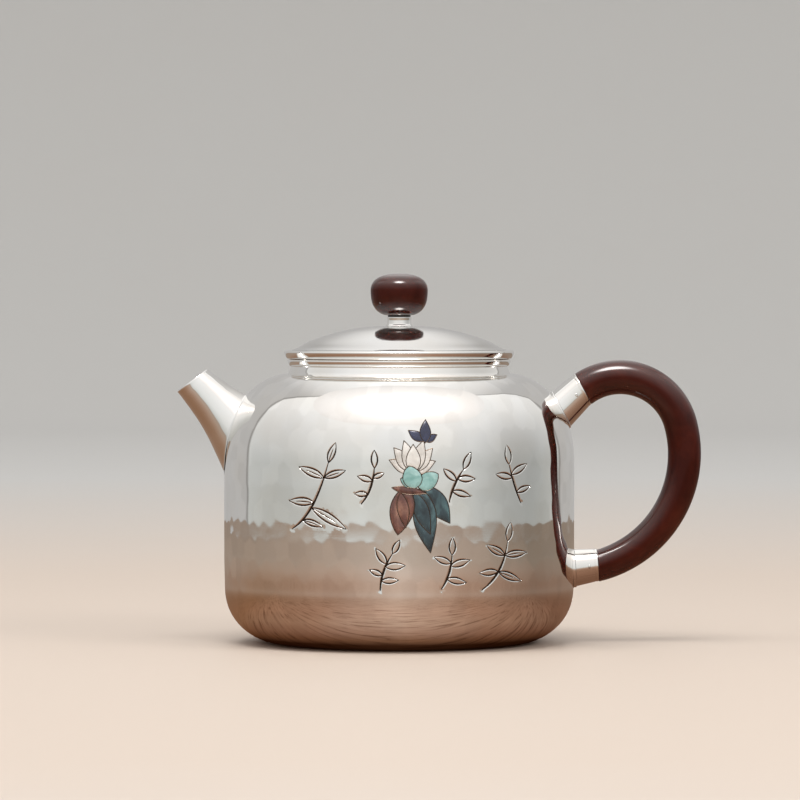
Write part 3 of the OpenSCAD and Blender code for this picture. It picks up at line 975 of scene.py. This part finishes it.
LID_SHEET = 1
LID_TOP = [(3.4, LID_TOP_Z), (6, LID_TOP_Z - 0.02), (9, 78.75), (11.5, 78.37), (14, 77.88), (16, 77.38),
           (18, 76.8), (20, 76.15), (22, 75.4), (23.5, 74.7), (24.6, 74.03), (25.2, 73.7), (25.8, 73.45),
           (26.3, 73.28), (26.75, 73.18)]
LID_BELOW = [(24.4, LID_UNDER_Z), (22, 74.25), (18, 75.7), (14, 76.8), (9, 77.7),
             (4.2, LID_TOP_Z - LID_SHEET)]
# The edge wire's outside: radius from the lid's edge, height over its underside
RIM = [(-1.1, 0), (-0.72, 0.07), (-0.46, 0.38), (-0.2, 0.88), (-0.05, 1.32), (0, 1.6), (-0.06, 1.84),
       (-0.26, 2.03), (-0.6, 2.1)]
WIRE_IN_R = 26.6
VENT = np.array([0, 9.0])
VENT_R = 0.8
# Shares of the knob's radius and height
KNOB_SIDE = [(0.41, 0), (0.47, 0.003), (0.54, 0.013), (0.635, 0.04), (0.73, 0.081), (0.815, 0.134),
             (0.89, 0.206), (0.944, 0.287), (0.982, 0.402), (1, 0.565), (0.992, 0.66), (0.955, 0.75),
             (0.89, 0.82), (0.795, 0.88), (0.66, 0.93), (0.5, 0.965), (0.33, 0.987), (0.15, 0.998), (0, 1)]


def build_lid_dome():
    """The lid's sheet: faintly hammered above, plain below, with the vent behind the knob."""
    segments, sharp = 288, 25
    above = [(SCREW_HOLE_R, LID_TOP_Z)] + spline(LID_TOP, 9) + [(26.75, LID_UNDER_Z + 0.1)]
    below = spline(LID_BELOW, 5) + [(SCREW_HOLE_R, LID_TOP_Z - LID_SHEET)]
    verts, faces = lathe(above + [(WIRE_IN_R, LID_UNDER_Z)] + below, segments, True)
    points = np.array(verts)
    angle = np.arctan2(points[:, 0], -points[:, 1])
    radius = np.hypot(points[:, 0], points[:, 1])
    on_top = np.arange(len(points)) < len(above) * segments
    fade = np.where(on_top, np.clip((radius - 5) / 4, 0, 1) * np.clip((25.4 - radius) / 2, 0, 1), 0)
    points[:, 2] += hammer_marks(angle * 0.55 + 1.0, radius + 40)[0] * fade * 0.25
    beside = np.column_stack([np.tile(VENT, (len(points), 1)), points[:, 2]])
    off = np.linalg.norm(points - beside, axis=1)
    faces = cut_hole(points, faces, beside, off, VENT_R, off < VENT_R)
    lid = add_piece("lid_dome", points, faces, "lid", "polished_silver", lid_silver, ["lid_cover"], sharp)
    finish_mesh(lid.data, sharp, [(0, 100)])


def add_turned(name, outline, segments, slot, material, node, sharp=35, closed=True):
    """A turned piece of the lid."""
    add_piece(name, *lathe(outline, segments, closed), "lid", slot, material, [node], sharp)


def build_lid_fittings():
    """The edge wire, the ring that drops into the mouth, the knob's collar and washer, and the knob."""
    wire = spline([(LID_R + r, LID_UNDER_Z + z) for r, z in RIM], 4)
    wire = [(WIRE_IN_R, LID_UNDER_Z)] + wire + [(WIRE_IN_R, LID_RIM_Z)]
    add_turned("lid_rim", wire, 256, "polished_silver", polished_silver, "lid_edge_wire", 30)
    ring = [(23.5, 66.4), (24.2, 66.1), (24.4, 66.4), (24.4, LID_UNDER_Z), (23.5, 71.87)]
    add_turned("lid_locating_ring", rounded(ring, 0.15), 192, "satin_silver", inner_silver, "lid_collar")
    seat = [(SCREW_HOLE_R, LID_TOP_Z), (3.4, LID_TOP_Z), (3.3, 79.25), (3.08, 79.6), (3.0, 80.5),
            (3.07, 81.1), (3.07, SEAM_Z), (SCREW_HOLE_R, SEAM_Z)]
    add_turned("knob_collar", rounded(seat, 0.14), 96, "polished_silver", polished_silver, "knob_seat")
    washer = [(SCREW_HOLE_R, SEAM_Z), (2.85, SEAM_Z), (2.85, KNOB_Z), (SCREW_HOLE_R, KNOB_Z)]
    add_turned("knob_seam", rounded(washer, 0.08), 96, "satin_silver", dark_seam, "knob_washer")
    knob = [(0, KNOB_Z)]
    knob += [(max(r, 0) * KNOB_R, KNOB_Z + share * (KNOB_TOP - KNOB_Z)) for r, share in spline(KNOB_SIDE, 6)]
    add_turned("knob_ball", knob, 128, "lacquered_wood", lacquered_wood, "knob", 60, closed=False)


build_lid_dome()
build_lid_fittings()

# ---- enamel flower on the front


def petal(base, direction, length, width, bow=0.0, tip=1.0):
    """A closed petal outline in (x, z). A tip below 1 is blunter."""
    along, side = directions(direction)
    t = np.linspace(0, 1, 14)
    bend = np.outer(np.sin(t * math.pi / 2) ** 2, side) * bow
    spine = np.array(base, float) + np.outer(t, along) * length + bend
    widest = math.log(0.5) / math.log(0.45)
    half = 0.5 * width * np.maximum(np.sin(math.pi * t ** widest), 0) ** tip
    half[0] = half[-1] = 0
    left, right = spine + half[:, None] * side, spine - half[:, None] * side
    return np.concatenate([left, right[1:-1][::-1]])


# Fields from back to front: (node, outline)
FIELDS = [
    ("enamel_leaf", petal((5.6, 41.2), -58, 11.6, 5.4, 0.6)),
    ("enamel_leaf", petal((5.0, 40.6), -78, 16.2, 5.6, -0.8)),
    ("enamel_leaf", petal((3.6, 39.4), -66, 11.0, 3.6, -0.6)),
    ("enamel_stem", petal((1.6, 40.6), -97, 11.8, 5.8, -0.5, 0.8)),
    ("enamel_stem", petal((0.4, 39.2), -84, 8.6, 2.8, 0.3, 0.9)),
    ("enamel_stem", petal((-1.8, 40.4), -14, 8.6, 1.9, 0.6)),
    ("enamel_petals", petal((3.3, 44.2), 20, 6.0, 2.9, 0.5)),
    ("enamel_petals", petal((3.3, 44.2), 158, 6.4, 2.9, -0.5)),
    ("enamel_petals", petal((3.3, 44.2), 48, 7.4, 3.3, 0.2)),
    ("enamel_petals", petal((3.3, 44.2), 130, 7.4, 3.3, -0.2)),
    ("enamel_petals", petal((3.4, 43.8), 70, 8.4, 3.3, 0.3)),
    ("enamel_petals", petal((3.4, 43.8), 108, 8.2, 3.3, -0.3)),
    ("enamel_petals", petal((3.4, 43.6), 90, 7.2, 3.5)),
    ("enamel_bud", petal((6.3, 51.5), 142, 4.8, 2.3, 0.4)),
    ("enamel_bud", petal((6.5, 51.5), 22, 3.2, 1.7, 0.4)),
    ("enamel_bud", petal((6.3, 51.1), 84, 5.6, 2.7, 0.2)),
    ("enamel_sepals", petal((3.6, 41.0), 158, 3.6, 2.6, -0.2, 0.7)),
    ("enamel_sepals", petal((4.6, 40.4), 32, 5.8, 4.2, 0.2, 0.62)),
    ("enamel_sepals", petal((3.9, 40.2), 104, 5.6, 4.6, 0.2, 0.62)),
]
# Each node's enamel, with its deep, middle and light colours and its streaks
ENAMELS = {
    "enamel_bud": ("navy_enamel", (0.012, 0.014, 0.035), (0.025, 0.03, 0.075), (0.06, 0.075, 0.15)),
    "enamel_petals": ("white_enamel", (0.62, 0.60, 0.57), (0.82, 0.80, 0.77), (0.9, 0.89, 0.87)),
    "enamel_sepals": ("aqua_enamel", (0.20, 0.42, 0.40), (0.34, 0.58, 0.57), (0.52, 0.72, 0.72)),
    "enamel_leaf": ("teal_enamel", (0.012, 0.022, 0.03), (0.03, 0.06, 0.075), (0.10, 0.20, 0.22),
                    300, (1, 1, 0.5)),
    "enamel_stem": ("brown_enamel", (0.055, 0.02, 0.018), (0.16, 0.065, 0.05), (0.33, 0.17, 0.12),
                    280, (1, 1, 0.5)),
}
# The enamel stands this proud at its edges, crowns by this much more, and is set this deep in the silver
ENAMEL_EDGE = 0.05
ENAMEL_RISE = 0.17
ENAMEL_DEPTH = 0.12
CROWN_REACH = 0.75
FIELD_STEP = 0.34
CLEAR_OF_EDGES = 0.14
WIRE_R = 0.11


def inside(points, outline):
    """Which points lie in a closed outline."""
    x, y = points[:, 0], points[:, 1]
    hit = np.zeros(len(points), bool)
    for (x0, y0), (x1, y1) in zip(outline, np.roll(outline, -1, 0)):
        with np.errstate(divide="ignore", invalid="ignore"):
            hit ^= ((y0 > y) != (y1 > y)) & (x < (x1 - x0) * (y - y0) / (y1 - y0 + 1e-12) + x0)
    return hit


def nearest(points, segments):
    """Each point's distance to the nearest of some segments."""
    return np.min([segment_distance(points, a, b)[0] for a, b in segments], axis=0)


def on_front(flat, lift):
    """Points lift proud of the front, from (x, z) as seen square on."""
    around, s = unrolled(flat).T
    return on_body(around / BODY_R, s, lift)


def enamel_mesh(outlines):
    """Triangles over all the outlines, as (points, triangles, the topmost outline that owns each)."""
    points, edges = [], []
    for outline in outlines:
        edges += ring_edges(len(points), len(outline))
        points += list(outline)
    low, high = np.min(points, 0), np.max(points, 0)
    xs, zs = (np.arange(low[k], high[k], FIELD_STEP) for k in (0, 1))
    grid = np.array([(x + (FIELD_STEP / 2 if k % 2 else 0), z) for k, z in enumerate(zs) for x in xs])
    grid = grid[np.any([inside(grid, outline) for outline in outlines], axis=0)]
    points += list(grid[nearest(grid, [(points[a], points[b]) for a, b in edges]) > CLEAR_OF_EDGES])
    out = delaunay_2d_cdt([Vector(p) for p in points], edges, [], 0, 1e-4)
    flat, triangles = np.array([tuple(v) for v in out[0]]), np.array(out[2])
    owner = np.full(len(triangles), -1)
    for k, outline in enumerate(outlines):
        owner[inside(flat[triangles].mean(1), outline)] = k
    return flat, triangles, owner


def field_borders(triangles, owner):
    """The edges between two fields, or between a field and the silver, where the cell wires stand."""
    sides = {}
    for k, triangle in enumerate(triangles):
        for a, b in zip(triangle, np.roll(triangle, -1)):
            sides.setdefault((min(a, b), max(a, b)), []).append(owner[k])
    return [edge for edge, owners in sides.items()
            if len(set(owners)) > 1 or (len(owners) == 1 and owners[0] >= 0)]


def build_cell(node, chosen, top, bottom):
    """One enamel colour: its triangles crowned above, flat below, with walls round them."""
    used = sorted(set(chosen.ravel()))
    number = {v: k for k, v in enumerate(used)}
    count = len(used)
    faces, sides = [], []
    for triangle in chosen:
        a, b, c = (number[v] for v in triangle)
        faces += [(a, b, c), (c + count, b + count, a + count)]
        sides += [(a, b), (b, c), (c, a)]
    single = set(sides)
    faces += [(q, p, p + count, q + count) for p, q in sides if (q, p) not in single]
    slot = ENAMELS[node][0]
    add_piece(node.replace("enamel", "cell"), [*top[used], *bottom[used]], faces, "pot", slot,
              enamel(*ENAMELS[node]), [node], 55)


def build_cell_wires(flat, border):
    """A thin strip of half-round section over each border."""
    overlap, foot, keel = 0.05, 0.04, -0.1
    verts, faces = [], []
    for a, b in border:
        step = (flat[b] - flat[a]) / (np.linalg.norm(flat[b] - flat[a]) + 1e-9)
        ends = np.array([flat[a] - step * overlap, flat[b] + step * overlap])
        side = np.array([-step[1], step[0]])
        first = len(verts)
        for turn in np.radians([0, 45, 90, 135, 180]):
            across = side * WIRE_R * math.cos(turn)
            verts += list(on_front(ends + across, foot + 1.25 * WIRE_R * math.sin(turn)))
        verts += list(on_front(ends, keel))
        for k in range(6):
            m = (k + 1) % 6
            faces.append((first + 2 * k, first + 2 * k + 1, first + 2 * m + 1, first + 2 * m))
        faces += [tuple(range(first, first + 12, 2)), tuple(range(first + 11, first, -2))]
    dark_wire = satin("dark_wire", (0.16, 0.12, 0.09), (0.2, 0.4))
    add_piece("cell_wires", verts, faces, "pot", "hammered_silver", dark_wire, (), 50)


def build_enamel():
    flat, triangles, owner = enamel_mesh([outline for _, outline in FIELDS])
    border = field_borders(triangles, owner)
    crown = np.clip(nearest(flat, [(flat[a], flat[b]) for a, b in border]) / CROWN_REACH, 0, 1)
    top = on_front(flat, ENAMEL_EDGE + ENAMEL_RISE * (1 - (1 - crown) ** 2))
    bottom = on_front(flat, -ENAMEL_DEPTH)
    for node in ENAMELS:
        wanted = [k for k, (name, _) in enumerate(FIELDS) if name == node]
        build_cell(node, triangles[np.isin(owner, wanted)], top, bottom)
    build_cell_wires(flat, border)


build_enamel()

# ---- CAD pieces that stay, with better materials

for node, material in (("spout_strainer", inner_silver), ("knob_screw", steel), ("screw_washer", steel)):
    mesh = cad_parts[node].data
    mesh.materials.clear()
    mesh.materials.append(material)

# ---- floor, light and camera, in metres


def studio_mesh(name, verts, faces, material, seen_by):
    """A studio piece that only the named kinds of ray see."""
    mesh = bpy.data.meshes.new(name)
    mesh.from_pydata([tuple(v) for v in verts], [], faces)
    mesh.shade_smooth()
    mesh.materials.append(material)
    thing = bpy.data.objects.new(name, mesh)
    scene.collection.objects.link(thing)
    for kind in ("camera", "diffuse", "glossy", "transmission", "shadow", "volume_scatter"):
        setattr(thing, "visible_" + kind, kind in seen_by)


def glowing(name):
    """A material that only gives light."""
    n = new_material(name)
    n.tree.nodes.remove(n.shader)
    n.shader = n.add("ShaderNodeEmission")
    n.link(n.shader.outputs[0], n.tree.nodes["Material Output"].inputs["Surface"])
    return n


def plain_floor(name, near, far):
    """A plain surface that is warmer near the pot and greyer towards the wall."""
    n = new_material(name)
    cloud = n.math("MULTIPLY", n.math("SUBTRACT", n.noise(9, 4), 0.5), 0.12)
    share = n.math("ADD", n.span(n.length(n.place), 0.3, 1.1), cloud)
    n.set(Base_Color=n.ramp(share, [(0.0, near), (1.0, far)]), Roughness=0.55, Specular_IOR_Level=0.25)
    return n.owner


def build_floor():
    """A plain pale floor that curves up into a low wall, far outside every view's camera."""
    flat_r, bend, wall = 1.9, 0.5, 0.6
    profile = [(r, 0) for r in (0, 0.3, 0.8, 1.4)]
    for a in np.radians(np.linspace(0, 90, 16)):
        profile.append((flat_r + bend * math.sin(a), bend * (1 - math.cos(a))))
    profile.append((flat_r + bend, bend + wall))
    material = plain_floor("pale_floor", (0.58, 0.49, 0.42), (0.60, 0.59, 0.575))
    seen_by = ("camera", "diffuse", "shadow", "transmission")
    studio_mesh("floor", *lathe(profile, 96, False), material, seen_by)


def table_material():
    """A table top that glows and is seen only in reflections. Its painted light is brightest straight in
    front of the pot, it has a painted contact shadow at the pot's foot, and it has fine grain close to the
    pot.
    """
    n = glowing("glowing_table_painted_light")
    reach = n.length(n.place)
    # painted contact shadow: near black at the pot's foot, rising to the warm tone 30 to 60 mm out
    painted_foot_shadow = n.span(reach, 0.03, 0.06)
    near = n.ramp(painted_foot_shadow, [(0.0, (0.008, 0.003, 0.0015)), (0.16, (0.04, 0.014, 0.006)),
                            (0.25, (0.2, 0.098, 0.055)), (0.37, (0.378, 0.225, 0.158)),
                            (0.55, (0.53, 0.357, 0.265)), (1.0, (0.587, 0.394, 0.295))])
    beyond = n.span(reach, 0.06, 0.66)
    far = n.ramp(beyond, [(0.0, (0.587, 0.394, 0.295)), (0.05, (0.565, 0.395, 0.30)),
                          (0.16, (0.582, 0.428, 0.338)), (0.27, (0.615, 0.482, 0.4)),
                          (0.4, (0.6, 0.49, 0.415)), (0.56, (0.53, 0.44, 0.37)), (1.0, (0.46, 0.38, 0.32))])
    tone = n.mix(n.span(reach, 0.0595, 0.0605), near, far)
    round_pot = n.add("ShaderNodeTexGradient", gradient_type="RADIAL")
    n.link(n.mapped(turn=(0, 0, math.pi / 2)), round_pot.inputs["Vector"])
    turn = round_pot.outputs["Fac"]
    # painted light and shade round the pot: brightest straight in front, darker to the sides and behind
    painted_light_near = n.ramp(turn, [(0.0, (0.36, 0.28, 0.23)), (0.25, (0.43, 0.31, 0.215)),
                               (0.4, (0.62, 0.51, 0.44)), (0.5, 1.0), (0.6, (0.62, 0.51, 0.44)),
                               (0.75, (0.34, 0.25, 0.20)), (1.0, (0.36, 0.28, 0.23))])
    painted_light_far = n.ramp(turn, [(0.0, (0.6, 0.57, 0.54)), (0.25, (0.68, 0.64, 0.60)),
                              (0.4, (0.84, 0.79, 0.76)), (0.5, 1.0), (0.6, (0.82, 0.77, 0.74)),
                              (0.75, (0.48, 0.46, 0.43)), (1.0, (0.6, 0.57, 0.54))])
    share = n.mix(n.span(reach, 0.1, 0.42), painted_light_near, painted_light_far)
    grain = n.noise(1.0, 5, 0.65, n.mapped((60, 760, 1)), 0.6)
    lines = n.ramp(grain, [(0.36, (0.56, 0.50, 0.47)), (0.44, (0.88, 0.86, 0.85)), (0.52, 1.0),
                           (0.68, (1.08, 1.09, 1.1))])
    from_the_front = n.math("ABSOLUTE", n.math("SUBTRACT", turn, 0.5))
    for fade in (n.span(reach, 0.1, 0.28), n.span(from_the_front, 0.2, 0.36)):
        lines = n.mix(fade, lines, (1.0, 1.0, 1.0))
    for factor in (share, lines):
        tone = n.mix(1.0, tone, factor, "MULTIPLY")
    n.set(Color=tone)
    return n.owner


def build_reflected_table():
    """A disc at floor level that only reflections see. It glows with painted light and shade, and gives the
    lower wall its warm tone.
    """
    profile = [(r, -0.0004) for r in (0, 0.1, 0.25, 0.66)]
    studio_mesh("reflected_table", *lathe(profile, 128, False), table_material(), ("glossy",))


def build_overhead_panel():
    """An oval panel overhead that only reflections see, brightest in the middle, for the soft highlights."""
    near, far, half, height = -1.2, 0.36, 0.95, 1.05
    middle, reach = (near + far) / 2, (far - near) / 2
    n = glowing("strip_glow")
    offset = n.add("ShaderNodeMapping", Location=(0, -middle / reach, 0), Scale=(1 / half, 1 / reach, 0))
    n.link(n.place, offset.inputs["Vector"])
    strength = n.ramp(n.length(offset.outputs["Vector"]),
                      [(0.0, 1.0), (0.18, 0.7), (0.32, 0.16), (0.43, 0.064), (0.62, 0.052), (0.97, 0.043)])
    n.set(Color=(1, 0.97, 0.95), Strength=n.math("MULTIPLY", strength, 22.0))
    turns = np.radians(np.arange(0, 360, 10))
    verts = [(half * math.cos(a), middle + reach * math.sin(a), height) for a in turns]
    studio_mesh("highlight_strip", verts, [range(len(verts))], n.owner, ("glossy",))


def build_world():
    """A white tent in front, at the sides and above, a grey wall behind, and a dark seam between them."""
    scene.world = bpy.data.worlds.new("studio")
    n = Nodes(scene.world, "Generated")

    def smooth(value, low, high):
        return n.span(value, low, high, curve="SMOOTHSTEP")

    def times(value, factor):
        return n.math("MULTIPLY", value, factor)

    parts = n.add("ShaderNodeSeparateXYZ")
    n.link(n.place, parts.inputs[0])
    x, y, z = parts.outputs
    height = n.span(z, -0.12, 0.88)
    tent = n.ramp(height, [(0.0, (0.58, 0.585, 0.565)), (0.075, (0.64, 0.65, 0.625)),
                           (0.11, (0.69, 0.70, 0.68)), (0.25, (0.79, 0.795, 0.78)), (0.5, (0.86, 0.86, 0.85)),
                           (0.75, (0.96, 0.955, 0.945)), (1.0, (1.05, 1.04, 1.02))])
    sides = n.ramp(n.span(x, -1, 1), [(0.0, 0.76), (0.14, 0.94), (0.25, 1.0), (0.75, 0.98), (0.87, 0.87),
                                      (0.96, 0.68), (1.0, 0.56)])
    tent = n.mix(1.0, tent, sides, "MULTIPLY")
    wall = n.ramp(height, [(0.0, (0.44, 0.43, 0.42)), (0.12, (0.48, 0.47, 0.46)), (1.0, (0.54, 0.53, 0.52))])
    spread = n.math("ADD", times(n.math("POWER", n.math("MAXIMUM", z), 2), 0.85), 0.1)
    aside = n.math("ABSOLUTE", n.math("DIVIDE", x, spread))
    glow = times(smooth(z, 0.16, 0.6), smooth(aside, 1.0, 0.0))
    wall = n.mix(glow, wall, (1.12, 1.11, 1.1))
    # the wall begins this far back, which is nearer overhead and further away on the right
    limit = n.math("SUBTRACT", 0.475, times(smooth(z, 0.58, 1.0), 0.395))
    limit = n.math("ADD", limit, times(smooth(x, 0.42, 0.62), 0.17))
    past = n.math("SUBTRACT", y, limit)
    sky = n.mix(smooth(past, -0.02, 0.01), tent, wall)
    seam = times(smooth(past, -0.03, 0.0), smooth(past, 0.03, 0.004))
    seam = times(seam, n.math("SUBTRACT", 0.6, times(glow, 0.5)))
    sky = n.mix(seam, sky, (0.16, 0.15, 0.14))
    n.link(sky, n.tree.nodes["Background"].inputs["Color"])


def build_light(name, place, size, power, colour):
    """A soft light aimed at the pot, which reflections don't show."""
    aim = Vector((0, 0, 0.05))
    data = bpy.data.lights.new(name, "AREA")
    data.shape = "RECTANGLE"
    data.size, data.size_y = size
    data.energy = power
    data.color = colour
    light = bpy.data.objects.new(name, data)
    scene.collection.objects.link(light)
    light.location = place
    light.rotation_euler = (aim - Vector(place)).to_track_quat("-Z", "Y").to_euler()
    light.visible_glossy = False
    light.visible_camera = False


def build_camera():
    view_angle, look_down = 9.69, 1.21
    data = bpy.data.cameras.new("camera")
    data.sensor_width = 36
    data.lens = data.sensor_width / 2 / math.tan(math.radians(view_angle / 2))
    data.clip_start, data.clip_end = 0.01, 50
    camera = bpy.data.objects.new("camera", data)
    scene.collection.objects.link(camera)
    camera.location = (0.0002, -1.18, 0.0855)
    camera.rotation_euler = (math.radians(90 - look_down), 0, 0)
    scene.camera = camera


build_floor()
build_reflected_table()
build_overhead_panel()
build_world()
build_light("top_light", (-0.2, -0.3, 1.1), (0.8, 0.5), 7, (1, 0.985, 0.96))
build_light("side_light", (0.9, -0.7, 0.7), (0.4, 0.5), 4, (1, 0.98, 0.96))
build_camera()
scene.view_settings.view_transform = "Standard"
